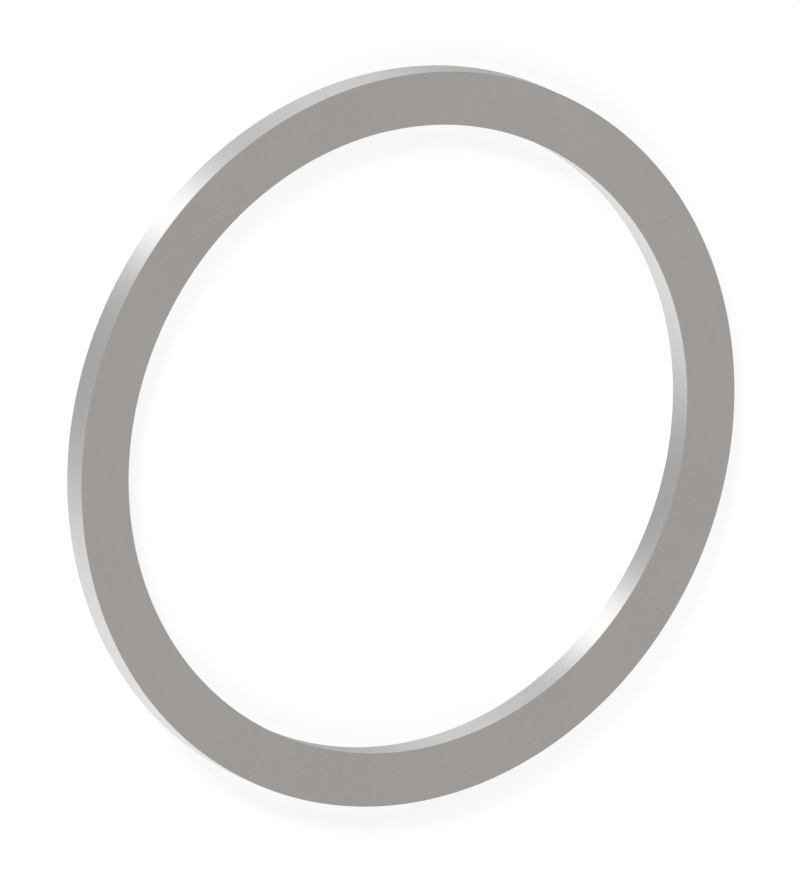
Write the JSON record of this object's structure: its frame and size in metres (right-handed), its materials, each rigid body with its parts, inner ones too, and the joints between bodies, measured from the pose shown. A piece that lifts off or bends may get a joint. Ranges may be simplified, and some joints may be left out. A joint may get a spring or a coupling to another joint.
{
  "type": "balance ring seal",
  "caption": "Flat steel ring of rectangular section with a plain bore, a plain outside and two lapped faces, which seals a balance ring against its housing.",
  "frame": {"origin": "centre of the lower face, on the ring's axis", "axes": "+Z along the ring's axis, from the lower face to the upper face; X and Y are any two directions across it"},
  "size_m": [0.09, 0.09, 0.0035],
  "materials": {
    "ring_steel": "satin, lapped faces and turned walls"
  },
  "bodies": {
    "root": {"seal_ring": "ring_steel"}
  },
  "joints": []
}
